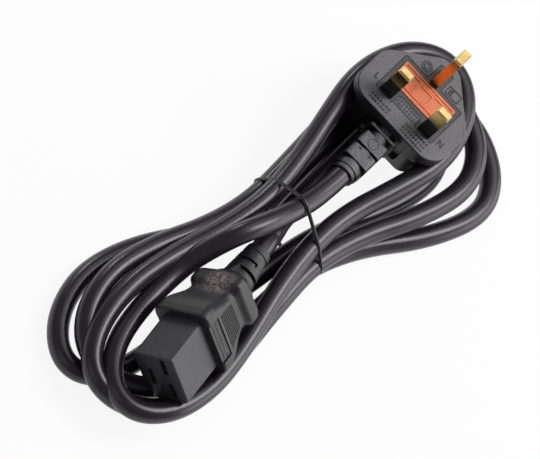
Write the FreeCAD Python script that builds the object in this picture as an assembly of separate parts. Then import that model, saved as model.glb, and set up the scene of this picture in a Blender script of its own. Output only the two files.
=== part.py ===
import FreeCAD, Part
import os
from math import acos, cos, pi, sin, sqrt, tan

os.makedirs("parts", exist_ok=True)
Vector = FreeCAD.Vector

# A moulded three pin plug with its cord and the appliance connector at the other end.
# Millimetres. The origin is on the plug's pin face, midway between line and neutral.
# +X runs from line to neutral, +Y towards the earth pin, +Z out of the face along the pins.

# Pins
PIN_HALF_SPACING = 11.11
EARTH_PIN_Y = 22.23
PIN_WIDTH = 6.35
PIN_THICKNESS = 4.0
PIN_LENGTH = 17.7
EARTH_PIN_WIDTH = 4.0
EARTH_PIN_DEPTH = 8.0
EARTH_PIN_LENGTH = 22.73
PIN_TIP = 1.2
SLEEVE_LENGTH = 9.3
SLEEVE_WALL = 0.5
SLEEVE_ROOT = 2.0

# Plug body
FACE_HALF_WIDTH = 24.6
FACE_BOTTOM = -10.9
FACE_SHOULDER = 13.0
FACE_TOP = 32.0
FACE_TOP_HALF = 4.45
GRIP_HALF_WIDTH = 19.3
GRIP_TOP = 30.2
GRIP_TOP_HALF = 3.8
BACK_TAPER = 0.6
PLUG_DEPTH = 21.0
RIM_DEPTH = 4.4
RIM_BLEND = 3.8
BLEND_STEPS = 6
FACE_CORNERS = (9.4, 9.2, 6.5)
GRIP_CORNERS = (6.0, 7.5, 5.0)
RIM_EDGE = 0.6
BACK_EDGE = 2.2
FIT = 0.05

# Cartridge fuse: its length sets its carrier, the clips and the insert round them
FUSE_LENGTH = 25.4
FUSE_CAP_LENGTH = 5.6
CLIP_LENGTH = 5.0
CARRIER_PAST_FUSE = 3.0
CARRIER_LENGTH = FUSE_LENGTH + CARRIER_PAST_FUSE

# Insert that carries the pins and the fuse
INSERT_HALF_WIDTH = CARRIER_LENGTH / 2 + 2.2
INSERT_TOP = 19.0
INSERT_BOTTOM = 2.5
INSERT_DEPTH = 11.5
PIN_PAD_INNER = 6.3
PIN_PAD_HALF_HEIGHT = 3.1
EARTH_PAD_HALF_WIDTH = 3.75
EARTH_PAD_TOP = 28.5
INSERT_CORNER = 1.2
INSERT_BEVEL = 0.25
INSERT_RIM = 3.6
INSERT_WALL = 1.1

# Fuse and its carrier
CARRIER_WIDTH = 12.2
CARRIER_Y = 10.7
CARRIER_PLATE = 2.4
CARRIER_GAP = 0.15
CARRIER_FRAME = 0.35
BAY_SHELF = 2.8
BAY_END_HALF_WIDTH = 4.6
CRADLE_TO_CLIP = 1.6
CRADLE_HALF_LENGTH = (FUSE_LENGTH - FUSE_CAP_LENGTH - CLIP_LENGTH) / 2 - CRADLE_TO_CLIP
BAY_MIDDLE_HALF_LENGTH = CRADLE_HALF_LENGTH + 0.5
CRADLE_HALF_WIDTH = 5.4
CRADLE_REACH = 1.6
END_WEB = 1.1
END_WEB_HALF_WIDTH = 4.0
FUSE_RADIUS = 3.175
FUSE_TUBE_RADIUS = 3.0
FUSE_Z = -7.3
FUSE_FIT = 0.06
CLIP_FIT = 0.1
CLIP_STRIP = 0.6
CLIP_PLATE = 0.8
CLIP_TOP = -5.0
PLATE_BACK = -INSERT_DEPTH - CLIP_PLATE
PLATE_OVERLAP = 1.6
STRAP_WIDTH = 2.4

# Cord
CORD_RADIUS = 4.5
CORE_RADIUS = 1.45
CORE_SPREAD = 2.3
CRIMP_WALL = 0.5
CRIMP_LENGTH = 5.0
CRIMP_APPROACH = 3.2
LEAD_X = 0.5
LEAD_Z = -10.5

# Plug strain relief, stations along -Y from the body
RECESS_HALF_WIDTH = 10.4
RECESS_DEPTH = 2.5
RECESS_TOP = -4.3
RECESS_BOTTOM = -16.8
RECESS_CORNER = 2.0
STEM_RADIUS = 5.3
FLANGE_HALF_WIDTH = 7.3
FLANGE_START = -12.3
FLANGE_END = -13.9
BLOCK_HALF_WIDTH = 6.3
BLOCK_HALF_HEIGHT = 6.0
BLOCK_CORNER = 1.6
BLOCK_START = -17.2
BLOCK_END = -24.2
BAND_START = -25.3
BAND_END = -32.4
BAND_HOLE_Y = -26.7
BAND_HOLE_RADIUS = 0.65
BAND_HOLE_SPACING = 5.4
BAND_HOLE_DEPTH = 0.5
BARREL_START = -33.0
BARREL_END = -36.2
BARREL_RADIUS = 6.0
RELIEF_END = -38.6
RELIEF_END_RADIUS = 5.5
RELIEF_MARK_RADIUS = 2.5
RELIEF_MARK_LINE = 0.35
RELIEF_MARK_DEPTH = 0.3
RELIEF_EDGE = 0.4
FLANGE_HALF_HEIGHT = 5.6
FLANGE_CORNER = 1.2
BAND_CORNER = 2.0

# Connector, in its own frame: width along X, length towards the cord along Y, depth along Z
NOSE_WIDTH = 24.6
NOSE_DEPTH = 19.4
NOSE_CORNER = 2.2
NOSE_LENGTH = 22.5
NOSE_ROOT = 8.0
SLOT_LENGTH = 8.2
SLOT_WIDTH = 2.3
SLOT_SPACING = 13.0
SLOT_PAIR_Z = 3.8
SLOT_EARTH_Z = -4.2
SLOT_SKIN = 2.5
CONTACT_LENGTH = 18.0
CONTACT_WALL = 0.6
CONTACT_GAP = 0.1
CONTACT_TAIL_WIDTH = 2.6
CONTACT_TAIL = 10.1
COLLAR_HALF_WIDTH = 16.4
COLLAR_HALF_DEPTH = 13.3
COLLAR_STRAIGHT = NOSE_LENGTH + 3.5
COLLAR_CORNER = 4.6
COLLAR_EDGE = 0.8
WAIST_HALF_WIDTH = 10.3
WAIST_HALF_DEPTH = 10.7
WAIST_Y = NOSE_LENGTH + 20.7
WAIST_CORNER = 4.2
STOP_HALF_WIDTH = 11.4
STOP_HALF_DEPTH = 12.4
STOP_START = NOSE_LENGTH + 24.1
STOP_END = STOP_START + 4.0
STOP_CORNER = 3.4
NECK_RADIUS = 8.2
NECK_Y = STOP_END + 5.4
CONNECTOR_LENGTH = NECK_Y + 19.2
CONNECTOR_END_RADIUS = 5.3
RELIEF_SLOT = 2.0
RELIEF_SLOT_PITCH = 5.2
RELIEF_SLOT_FIRST = NECK_Y + 3.4
CONNECTOR_CORD_START = NECK_Y - 2.0
CONNECTOR_LEAD_MOUTH = 5.5
LABEL_HALF_WIDTH = 9.9
LABEL_BACK = NOSE_LENGTH + 6.3
LABEL_DEPTH = 0.7
RIB_COUNT = 9
RIB_FIRST = LABEL_BACK + 2.1
RIB_PITCH = 1.12
RIB_WIDTH = 0.55
RIB_DEPTH = 0.45
RIB_HALF_LENGTH = 8.8
RIB_NARROWING = 0.28

# Where the connector lies: the end of its relief, and the way it points from there
CONNECTOR_END = Vector(-0.106, -93.874, -10.376)
CONNECTOR_ALONG = Vector(-0.1183, 0.9924, 0.0349).normalize()
CONNECTOR_FACE = CONNECTOR_END - CONNECTOR_ALONG * CONNECTOR_LENGTH
CONNECTOR_ROLL = 42.0

# Hank of cord on the surface below the plug
FLOOR_Z = -35.0
HANK_CLEARANCE = 0.3
CONNECTOR_LEAD_CLEARANCE = 0.5
LOW_TOP = 13.6
MIDDLE_TOP = 19.5
WAIST_TOP = 24.2
CREST_TOP = 28.5
TIE_STRIP = 0.8
TIE_WIDTH = 1.6
TIE_Y = -70.0
TIE_SLANT = 0.17
TIE_ROOM_HALF_X = 30.0
TIE_ROOM_HALF_Y = 12.0
TIE_CORNERS = [
    (-22.2, 1.0), (-22.2, 15.0), (-17.7, 25.2), (-8.8, 32.5), (3.2, 32.5), (17.0, 25.2), (23.2, 15.0),
    (23.2, 1.0),
]
TIE_CORNER_RADII = [1.5, 6.0, 6.0, 5.0, 5.0, 6.0, 6.0, 1.5]
TIE_MIDDLE = (0.5, 14.0)

# Free cord from the plug, and the short one into the connector
PLUG_LEAD = [
    Vector(LEAD_X, -14.0, LEAD_Z),
    Vector(LEAD_X, -45.0, LEAD_Z),
    Vector(-0.8, -62.0, -9.3),
    Vector(-5.5, -82.6, -4.8),
    Vector(-10.9, -98.4, -4.4),
    Vector(-14.9, -110.0, -11.0),
    Vector(-17.4, -121.4, -18.6),
]
CONNECTOR_LEAD_BENDS = [Vector(-1.2, -78.6, -17.6), Vector(-3.2, -67.0, -20.6)]


def line(a, b):
    return Part.LineSegment(a, b).toShape()


def box(x0, x1, y0, y1, z0, z1):
    return Part.makeBox(x1 - x0, y1 - y0, z1 - z0, Vector(x0, y0, z0))


def centred(x, half_x, y, half_y, z0, z1):
    """Box about a centre line that runs along Z."""
    return box(x - half_x, x + half_x, y - half_y, y + half_y, z0, z1)


def slab(x, half_x, y0, y1, z0, z1):
    """Box about one value of X."""
    return box(x - half_x, x + half_x, y0, y1, z0, z1)


def rod_x(radius, length, y, z):
    """Cylinder along X, its middle at X = 0."""
    return Part.makeCylinder(radius, length, Vector(-length / 2, y, z), Vector(1, 0, 0))


def rod_y(radius, length, x, y, z):
    """Cylinder along Y from a point."""
    return Part.makeCylinder(radius, length, Vector(x, y, z), Vector(0, 1, 0))


def cut_all(shape, tools):
    for tool in tools:
        shape = shape.cut(tool)
    return shape


def fuse_all(shapes):
    whole = shapes[0]
    for shape in shapes[1:]:
        whole = whole.fuse(shape)
    return whole


def rounded_wire(corners, radii):
    """Closed wire through corner points, with a tangent arc at each corner."""
    edges = []
    ends = []
    count = len(corners)
    for i in range(count):
        here = corners[i]
        back = (corners[i - 1] - here).normalize()
        ahead = (corners[(i + 1) % count] - here).normalize()
        half = acos(max(-1.0, min(1.0, back.dot(ahead)))) / 2
        reach = radii[i] / tan(half)
        start = here + back * reach
        stop = here + ahead * reach
        middle_way = (back + ahead).normalize()
        middle = here + middle_way * (radii[i] / sin(half) - radii[i])
        ends.append((start, middle, stop))
    for i in range(count):
        start, middle, stop = ends[i]
        edges.append(Part.Arc(start, middle, stop).toShape())
        edges.append(line(stop, ends[(i + 1) % count][0]))
    return Part.Wire(edges)


def rounded_box(half_x, half_y, corner, z0, z1, centre_x=0.0, centre_y=0.0):
    corners = [
        Vector(centre_x + half_x, centre_y - half_y, z0),
        Vector(centre_x + half_x, centre_y + half_y, z0),
        Vector(centre_x - half_x, centre_y + half_y, z0),
        Vector(centre_x - half_x, centre_y - half_y, z0),
    ]
    face = Part.Face(rounded_wire(corners, [corner] * 4))
    return face.extrude(Vector(0, 0, z1 - z0))


def section_xz(half_x, half_z, corner, y, centre_x=0.0, centre_z=0.0):
    """Rounded rectangle in the plane across Y."""
    corners = [
        Vector(centre_x + half_x, y, centre_z - half_z),
        Vector(centre_x + half_x, y, centre_z + half_z),
        Vector(centre_x - half_x, y, centre_z + half_z),
        Vector(centre_x - half_x, y, centre_z - half_z),
    ]
    return rounded_wire(corners, [corner] * 4)


def block_xz(half_x, half_z, corner, y0, y1, centre_x=0.0, centre_z=0.0):
    face = Part.Face(section_xz(half_x, half_z, corner, y0, centre_x, centre_z))
    return face.extrude(Vector(0, y1 - y0, 0))


def edges_at(shape, axis, value, reach=0.01):
    """Edges whose two bounds along one axis both lie at a value."""
    found = []
    for edge in shape.Edges:
        bounds = edge.BoundBox
        low = {"x": bounds.XMin, "y": bounds.YMin, "z": bounds.ZMin}[axis]
        high = {"x": bounds.XMax, "y": bounds.YMax, "z": bounds.ZMax}[axis]
        if abs(low - value) < reach and abs(high - value) < reach:
            found.append(edge)
    return found


def cord_path(points, share=0.45):
    """Straight runs joined by tangent arcs, as large as the two runs allow."""
    edges = []
    radii = []
    at = points[0]
    for i in range(1, len(points) - 1):
        back = points[i - 1] - points[i]
        ahead = points[i + 1] - points[i]
        shorter = min(back.Length, ahead.Length)
        back.normalize()
        ahead.normalize()
        half_turn = (pi - acos(max(-1.0, min(1.0, back.dot(ahead))))) / 2
        radius = share * shorter / tan(half_turn)
        start = points[i] + back * (share * shorter)
        stop = points[i] + ahead * (share * shorter)
        towards = (back + ahead).normalize()
        middle = points[i] + towards * (radius / cos(half_turn) - radius)
        edges.append(line(at, start))
        edges.append(Part.Arc(start, middle, stop).toShape())
        radii.append(radius)
        at = stop
    edges.append(line(at, points[-1]))
    return Part.Wire(edges), radii


def tube(points, radius):
    """Round solid along a cord's path."""
    path = cord_path(points)[0]
    way = (points[1] - points[0]).normalize()
    profile = Part.Wire([Part.makeCircle(radius, points[0], way)])
    return path.makePipeShell([profile], True, False)


def report_cord(name, points, radius):
    path, radii = cord_path(points)
    volume = tube(points, radius).Volume
    ideal = path.Length * pi * radius * radius
    shown = ", ".join("%.0f" % value for value in radii)
    print("%s: length %.1f, radii %s, volume ratio %.4f" % (name, path.Length, shown, volume / ideal))


def plug_outline(half_width, bottom, shoulder, top, top_half, z, radii):
    """The plug's outline seen along the pins, wide by the line and neutral pins, narrow by earth."""
    corners = [
        Vector(half_width, bottom, z),
        Vector(half_width, shoulder, z),
        Vector(top_half, top, z),
        Vector(-top_half, top, z),
        Vector(-half_width, shoulder, z),
        Vector(-half_width, bottom, z),
    ]
    return rounded_wire(corners, list(radii) + list(reversed(radii)))


def blended_outline(share, z):
    """Outline between the rim, share 0, and the finger grip, share 1."""
    def mix(a, b):
        return a + (b - a) * share
    return plug_outline(
        mix(FACE_HALF_WIDTH, GRIP_HALF_WIDTH),
        FACE_BOTTOM,
        FACE_SHOULDER,
        mix(FACE_TOP, GRIP_TOP),
        mix(FACE_TOP_HALF, GRIP_TOP_HALF),
        z,
        [mix(a, b) for a, b in zip(FACE_CORNERS, GRIP_CORNERS)],
    )


def plug_shell():
    """Rim at the face, blend into the narrower finger grip, tapered back."""
    rim = Part.Face(blended_outline(0.0, 0.0)).extrude(Vector(0, 0, -RIM_DEPTH))
    rim = rim.makeFillet(RIM_EDGE, edges_at(rim, "z", 0.0))
    sections = []
    for i in range(BLEND_STEPS + 1):
        share = 0.5 - 0.5 * cos(pi * i / BLEND_STEPS)
        sections.append(blended_outline(share, -RIM_DEPTH - RIM_BLEND * i / BLEND_STEPS))
    blend = Part.makeLoft(sections, True, True)
    grip_start = -RIM_DEPTH - RIM_BLEND
    back = plug_outline(
        GRIP_HALF_WIDTH - BACK_TAPER,
        FACE_BOTTOM + BACK_TAPER,
        FACE_SHOULDER,
        GRIP_TOP - BACK_TAPER,
        GRIP_TOP_HALF,
        -PLUG_DEPTH,
        GRIP_CORNERS,
    )
    grip = Part.makeLoft([blended_outline(1.0, grip_start), back], True, True)
    grip = grip.makeFillet(BACK_EDGE, edges_at(grip, "z", -PLUG_DEPTH))
    return fuse_all([rim, blend, grip])


def relief_disc(radius, y0, y1):
    """Round part of the plug's relief, coaxial with the cord."""
    return rod_y(radius, y1 - y0, LEAD_X, y0, LEAD_Z)


def relief_block(half_width, half_height, corner, y0, y1):
    """Part of the plug's relief with a rounded square section."""
    block = block_xz(half_width, half_height, corner, y0, y1, LEAD_X, LEAD_Z)
    return block.makeFillet(RELIEF_EDGE, edges_at(block, "y", y0) + edges_at(block, "y", y1))


def plug_relief():
    """Cord relief: flange in its recess, grip block, drilled band, barrel and end ring on one stem."""
    floor = FACE_BOTTOM + RECESS_DEPTH
    stem = relief_disc(STEM_RADIUS, RELIEF_END, floor + 0.5)
    flange = relief_block(FLANGE_HALF_WIDTH, FLANGE_HALF_HEIGHT, FLANGE_CORNER, FLANGE_END, FLANGE_START)
    block = relief_block(BLOCK_HALF_WIDTH, BLOCK_HALF_HEIGHT, BLOCK_CORNER, BLOCK_END, BLOCK_START)
    top = LEAD_Z + BLOCK_HALF_HEIGHT
    mark_at = Vector(LEAD_X, (BLOCK_START + BLOCK_END) / 2, top - RELIEF_MARK_DEPTH)
    mark = Part.makeCylinder(RELIEF_MARK_RADIUS, RELIEF_MARK_DEPTH, mark_at)
    mark = mark.cut(Part.makeCylinder(RELIEF_MARK_RADIUS - RELIEF_MARK_LINE, RELIEF_MARK_DEPTH, mark_at))
    block = block.cut(mark)
    band = relief_block(BLOCK_HALF_WIDTH, BLOCK_HALF_HEIGHT, BAND_CORNER, BAND_END, BAND_START)
    for side in (-0.5, 0.5):
        hole_at = Vector(LEAD_X + side * BAND_HOLE_SPACING, BAND_HOLE_Y, top - BAND_HOLE_DEPTH)
        band = band.cut(Part.makeCylinder(BAND_HOLE_RADIUS, BAND_HOLE_DEPTH + 1, hole_at))
    barrel = relief_disc(BARREL_RADIUS, BARREL_END, BARREL_START)
    ring = relief_disc(RELIEF_END_RADIUS, RELIEF_END, BARREL_END)
    ring = ring.makeFillet(RELIEF_EDGE, edges_at(ring, "y", RELIEF_END))
    return fuse_all([stem, flange, block, band, barrel, ring])


def insert_outline(z, grow=0.0):
    """Pads round the line and neutral pins, the fuse window's frame and the earth pin's pad."""
    wide = INSERT_HALF_WIDTH + grow
    low = -PIN_PAD_HALF_HEIGHT - grow
    inner = PIN_PAD_INNER - grow
    mid = INSERT_BOTTOM - grow
    top = INSERT_TOP + grow
    pad = EARTH_PAD_HALF_WIDTH + grow
    peak = EARTH_PAD_TOP + grow
    right = [(inner, mid), (inner, low), (wide, low), (wide, top), (pad, top), (pad, peak)]
    left = [(-x, y) for x, y in reversed(right)]
    corners = [Vector(x, y, z) for x, y in right + left]
    return rounded_wire(corners, [INSERT_CORNER] * len(corners))


def grip_core(grow=0.0):
    """The plug's grip less a wall, down to the insert's back: the insert stays inside it below the rim."""
    wall = INSERT_WALL - grow
    section = plug_outline(
        GRIP_HALF_WIDTH - wall,
        FACE_BOTTOM + wall,
        FACE_SHOULDER,
        GRIP_TOP - wall,
        GRIP_TOP_HALF - wall,
        -INSERT_RIM,
        [radius - 1.0 for radius in GRIP_CORNERS],
    )
    return Part.Face(section).extrude(Vector(0, 0, INSERT_RIM - INSERT_DEPTH - grow))


def insert_body(top, grow=0.0):
    """The insert's outer shape, or with grow the room for it in the body."""
    rim = Part.Face(insert_outline(top, grow)).extrude(Vector(0, 0, -INSERT_RIM - grow - top))
    root = Part.Face(insert_outline(-INSERT_RIM, grow))
    root = root.extrude(Vector(0, 0, INSERT_RIM - INSERT_DEPTH - grow))
    return rim.fuse(root.common(grip_core(grow))).removeSplitter()


def fuse_clip(side):
    """Fuse clip: plate on the insert's back with two spring arms round the fuse cap."""
    middle = side * (FUSE_LENGTH - FUSE_CAP_LENGTH) / 2
    x0 = middle - CLIP_LENGTH / 2
    x1 = middle + CLIP_LENGTH / 2
    inside = FUSE_RADIUS + CLIP_FIT
    outside = inside + CLIP_STRIP
    top = -INSERT_DEPTH
    plate = box(x0, x1, CARRIER_Y - outside, CARRIER_Y + outside, PLATE_BACK, top)
    arms = []
    for way in (-1, 1):
        near = CARRIER_Y + way * inside
        far = CARRIER_Y + way * outside
        arms.append(box(x0, x1, min(near, far), max(near, far), PLATE_BACK, CLIP_TOP))
    return fuse_all([plate] + arms), x0, CARRIER_Y - outside


def crimp(at, way):
    """Open barrel closed round a core's end."""
    outer = Part.makeCylinder(CORE_RADIUS + CRIMP_WALL, CRIMP_LENGTH, at, way)
    return outer.cut(Part.makeCylinder(CORE_RADIUS + FIT, CRIMP_LENGTH, at, way))


def crimp_level():
    return PLATE_BACK - CORE_RADIUS - CRIMP_WALL + 0.2


def pin_clip():
    """Clip on the line pin's side, its tongue lying across the pin's inner end."""
    clip, x0, low = fuse_clip(-1)
    half = PIN_WIDTH / 2 - SLEEVE_WALL
    tongue = slab(-PIN_HALF_SPACING, half, -PLATE_OVERLAP, low + 0.2, PLATE_BACK, -INSERT_DEPTH)
    return clip.fuse(tongue)


def supply_clip():
    """Clip on the other side, with the crimp that holds the line core."""
    clip, x0, low = fuse_clip(1)
    start = low - CRIMP_LENGTH + 0.4
    middle = x0 + CORE_RADIUS + CRIMP_WALL
    barrel = crimp(Vector(middle, start, crimp_level()), Vector(0, 1, 0))
    strap = box(x0, x0 + STRAP_WIDTH, start, low + 0.2, PLATE_BACK, -INSERT_DEPTH)
    return fuse_all([clip, strap, barrel]).cut(core_end_room(Vector(middle, start, crimp_level())))


def core_end_room(at):
    """The space that a core's end takes in its crimp."""
    return Part.makeCylinder(CORE_RADIUS + FIT, CRIMP_LENGTH, at, Vector(0, 1, 0))


NEUTRAL_CRIMP = Vector(PIN_HALF_SPACING + 1.8, -3.0, crimp_level())
EARTH_CRIMP = Vector(0.0, EARTH_PIN_Y - EARTH_PIN_DEPTH / 2 - CRIMP_LENGTH + 0.4, crimp_level())
SUPPLY_CRIMP = Vector(
    (FUSE_LENGTH - FUSE_CAP_LENGTH) / 2 - CLIP_LENGTH / 2 + CORE_RADIUS + CRIMP_WALL,
    CARRIER_Y - FUSE_RADIUS - CLIP_FIT - CLIP_STRIP - CRIMP_LENGTH + 0.4,
    crimp_level(),
)


def neutral_terminal():
    half = PIN_WIDTH / 2 - SLEEVE_WALL
    plate = slab(PIN_HALF_SPACING, half, -PLATE_OVERLAP, PLATE_OVERLAP, PLATE_BACK, -INSERT_DEPTH)
    barrel = crimp(NEUTRAL_CRIMP, Vector(0, 1, 0))
    return plate.fuse(barrel).cut(core_end_room(NEUTRAL_CRIMP))


def earth_terminal():
    half = EARTH_PIN_WIDTH / 2 - 0.2
    low = EARTH_PIN_Y - EARTH_PIN_DEPTH / 2 - 2.0
    plate = slab(0.0, half, low, EARTH_PIN_Y + 3.0, PLATE_BACK, -INSERT_DEPTH)
    barrel = crimp(EARTH_CRIMP, Vector(0, 1, 0))
    return plate.fuse(barrel).cut(core_end_room(EARTH_CRIMP))


def core_points(crimp_at, start, bends):
    """A core leaves the cord straight, and enters its crimp straight."""
    entry = crimp_at + Vector(0, -CRIMP_APPROACH, 0)
    end = crimp_at + Vector(0, CRIMP_LENGTH - 0.5, 0)
    return [start] + bends + [entry, end]


CORE_START_Y = PLUG_LEAD[0].y + 2 * FIT
LINE_CORE = core_points(
    SUPPLY_CRIMP,
    Vector(LEAD_X - CORE_SPREAD * 0.87, CORE_START_Y, LEAD_Z + CORE_SPREAD * 0.5),
    [Vector(LEAD_X - CORE_SPREAD * 0.87, -6.9, LEAD_Z + CORE_SPREAD * 0.5), Vector(0.2, -2.6, -12.8)],
)
NEUTRAL_CORE = core_points(
    NEUTRAL_CRIMP,
    Vector(LEAD_X + CORE_SPREAD * 0.87, CORE_START_Y, LEAD_Z + CORE_SPREAD * 0.5),
    [Vector(LEAD_X + CORE_SPREAD * 0.87, -6.5, LEAD_Z + CORE_SPREAD * 0.5)],
)
EARTH_CORE = core_points(
    EARTH_CRIMP,
    Vector(LEAD_X, CORE_START_Y, LEAD_Z - CORE_SPREAD),
    [Vector(LEAD_X, -8.2, LEAD_Z - CORE_SPREAD), Vector(-1.4, 0.5, -18.0), Vector(0.0, 5.2, -17.2)],
)


def blade(width, thickness, z0, z1, tip):
    """Flat pin with its tip drawn in on four sides."""
    body = centred(0.0, width / 2, 0.0, thickness / 2, z0, z1 - tip)
    draw = 0.55 * tip
    wires = []
    for inset, z in ((0.0, z1 - tip), (draw, z1)):
        corner = Vector(inset - width / 2, inset - thickness / 2, z)
        wires.append(Part.makePlane(width - 2 * inset, thickness - 2 * inset, corner).OuterWire)
    return body.fuse(Part.makeLoft(wires, True, True)).removeSplitter()


def power_pin():
    """Full section past the sleeve, necked down inside it and in the insert."""
    wide = blade(PIN_WIDTH, PIN_THICKNESS, SLEEVE_LENGTH, PIN_LENGTH, PIN_TIP)
    neck_x = PIN_WIDTH / 2 - SLEEVE_WALL
    neck_y = PIN_THICKNESS / 2 - SLEEVE_WALL
    neck = centred(0.0, neck_x, 0.0, neck_y, -INSERT_DEPTH, SLEEVE_LENGTH)
    return wide.fuse(neck)


def pin_sleeve():
    """Insulating sleeve, flush with the bare end of the pin."""
    outer = centred(0.0, PIN_WIDTH / 2, 0.0, PIN_THICKNESS / 2, -SLEEVE_ROOT, SLEEVE_LENGTH)
    room = FIT / 2
    neck_x = PIN_WIDTH / 2 - SLEEVE_WALL + room
    neck_y = PIN_THICKNESS / 2 - SLEEVE_WALL + room
    return outer.cut(centred(0.0, neck_x, 0.0, neck_y, -SLEEVE_ROOT, SLEEVE_LENGTH))


def earth_pin():
    pin = blade(EARTH_PIN_WIDTH, EARTH_PIN_DEPTH, -INSERT_DEPTH, EARTH_PIN_LENGTH, PIN_TIP)
    pin.translate(Vector(0, EARTH_PIN_Y, 0))
    return pin


def moved(shape, x, y, z):
    copy = shape.copy()
    copy.translate(Vector(x, y, z))
    return copy


def plug_insert():
    """Smooth insert in the face: pin pads, window for the fuse carrier, seats for the pins."""
    body = insert_body(0.0)
    body = body.makeChamfer(INSERT_BEVEL, edges_at(body, "z", 0.0))
    half_x = CARRIER_LENGTH / 2 + CARRIER_GAP
    half_y = CARRIER_WIDTH / 2 + CARRIER_GAP
    window = rounded_box(half_x, half_y, 0.6, -BAY_SHELF, 1.0, 0.0, CARRIER_Y)
    ends = centred(0.0, half_x, CARRIER_Y, BAY_END_HALF_WIDTH, -INSERT_DEPTH, 1.0)
    middle = centred(0.0, BAY_MIDDLE_HALF_LENGTH, CARRIER_Y, half_y - 0.4, -INSERT_DEPTH, 1.0)
    neck_x = PIN_WIDTH / 2 - SLEEVE_WALL + FIT
    neck_y = PIN_THICKNESS / 2 - SLEEVE_WALL + FIT
    seat_x = PIN_WIDTH / 2 + FIT
    seat_y = PIN_THICKNESS / 2 + FIT
    tools = [window, ends, middle]
    for side in (-1, 1):
        x = side * PIN_HALF_SPACING
        tools.append(centred(x, neck_x, 0.0, neck_y, -INSERT_DEPTH, 1.0))
        tools.append(centred(x, seat_x, 0.0, seat_y, -SLEEVE_ROOT - FIT, 1.0))
    earth_x = EARTH_PIN_WIDTH / 2 + FIT
    earth_y = EARTH_PIN_DEPTH / 2 + FIT
    tools.append(centred(0.0, earth_x, EARTH_PIN_Y, earth_y, -INSERT_DEPTH, 1.0))
    return cut_all(body, tools)


def fuse_carrier():
    """Window plate with nested frames, cradle round the fuse's middle, webs past its ends."""
    half_x = CARRIER_LENGTH / 2
    half_y = CARRIER_WIDTH / 2
    plate = rounded_box(half_x, half_y, 0.5, -CARRIER_PLATE, 0.0, 0.0, CARRIER_Y)
    frames = []
    for inset_x, inset_y, width in ((0.0, 0.0, 1.0), (3.0, 1.9, 0.8), (10.0, 2.8, 0.8)):
        out_x = half_x - inset_x
        out_y = half_y - inset_y
        outer = rounded_box(out_x, out_y, 0.5, 0.0, CARRIER_FRAME, 0.0, CARRIER_Y)
        inner = rounded_box(out_x - width, out_y - width, 0.3, 0.0, CARRIER_FRAME, 0.0, CARRIER_Y)
        frames.append(outer.cut(inner))
    low = FUSE_Z - CRADLE_REACH
    cradle = centred(0.0, CRADLE_HALF_LENGTH, CARRIER_Y, CRADLE_HALF_WIDTH, low, -CARRIER_PLATE)
    bore = rod_x(FUSE_TUBE_RADIUS + FUSE_FIT, 2 * CRADLE_HALF_LENGTH, CARRIER_Y, FUSE_Z)
    mouth = FUSE_TUBE_RADIUS * 0.9
    entry = centred(0.0, CRADLE_HALF_LENGTH, CARRIER_Y, mouth, low, FUSE_Z)
    cradle = cradle.cut(bore).cut(entry)
    webs = []
    for side in (-1, 1):
        middle = side * (half_x - 0.2 - END_WEB / 2)
        webs.append(centred(middle, END_WEB / 2, CARRIER_Y, END_WEB_HALF_WIDTH, low, -CARRIER_PLATE))
    return fuse_all([plate] + frames + [cradle] + webs)


def fuse_tube(grow=0.0):
    """The fuse's ceramic tube, or with grow the room for it in the caps."""
    return rod_x(FUSE_TUBE_RADIUS - FUSE_FIT + grow, FUSE_LENGTH - 1.0, CARRIER_Y, FUSE_Z)


def fuse_cap(side):
    """Cup over one end of the fuse tube."""
    end = side * FUSE_LENGTH / 2
    inward = Vector(-side, 0, 0)
    cup = Part.makeCylinder(FUSE_RADIUS, FUSE_CAP_LENGTH, Vector(end, CARRIER_Y, FUSE_Z), inward)
    cup = cup.makeFillet(0.4, edges_at(cup, "x", end))
    return cup.cut(fuse_tube(FIT / 2))


def plug_overmould(terminals):
    """Body and cord relief in one moulding, closed round the insert, terminals and cores."""
    shell = plug_shell()
    recess = block_xz(
        RECESS_HALF_WIDTH,
        (RECESS_TOP - RECESS_BOTTOM) / 2,
        RECESS_CORNER,
        FACE_BOTTOM - 1.0,
        FACE_BOTTOM + RECESS_DEPTH,
        LEAD_X,
        (RECESS_TOP + RECESS_BOTTOM) / 2,
    )
    body = shell.cut(recess).fuse(plug_relief())
    tools = [insert_body(1.0, FIT)]
    tools.append(tube(PLUG_LEAD[:2], CORD_RADIUS + FIT))
    for points in (LINE_CORE, NEUTRAL_CORE, EARTH_CORE):
        tools.append(tube(points, CORE_RADIUS + FIT))
    for shape in terminals:
        tools.append(room_for_terminal(shape))
    return cut_all(body, tools)


def room_for_terminal(shape):
    """Box round the part of a terminal that lies behind the insert."""
    bounds = shape.BoundBox
    top = -INSERT_DEPTH + FIT
    half_x = bounds.XLength / 2 + FIT
    half_y = bounds.YLength / 2 + FIT
    return centred(bounds.Center.x, half_x, bounds.Center.y, half_y, bounds.ZMin - FIT, top)


def connector_place():
    """Turn and move from the connector's own frame to where it lies."""
    roll = CONNECTOR_ROLL * pi / 180
    along = Vector(CONNECTOR_ALONG)
    along.normalize()
    level = along.cross(Vector(0, 0, 1)).normalize()
    lift = level.cross(along)
    across = level * cos(roll) - lift * sin(roll)
    up = across.cross(along)
    face = CONNECTOR_FACE
    return FreeCAD.Matrix(
        across.x, along.x, up.x, face.x,
        across.y, along.y, up.y, face.y,
        across.z, along.z, up.z, face.z,
        0, 0, 0, 1,
    )


PLACE = connector_place()


def lay(shape):
    return shape.transformShape(PLACE, True)


def slots():
    """Centre of each contact slot in the nose: line, neutral, earth."""
    return {
        "line": (-SLOT_SPACING / 2, SLOT_PAIR_Z),
        "neutral": (SLOT_SPACING / 2, SLOT_PAIR_Z),
        "earth": (0.0, SLOT_EARTH_Z),
    }


def contact_half_sizes():
    half_x = SLOT_LENGTH / 2 + CONTACT_WALL
    half_z = SLOT_WIDTH / 2 + CONTACT_WALL
    return half_x, half_z


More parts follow.
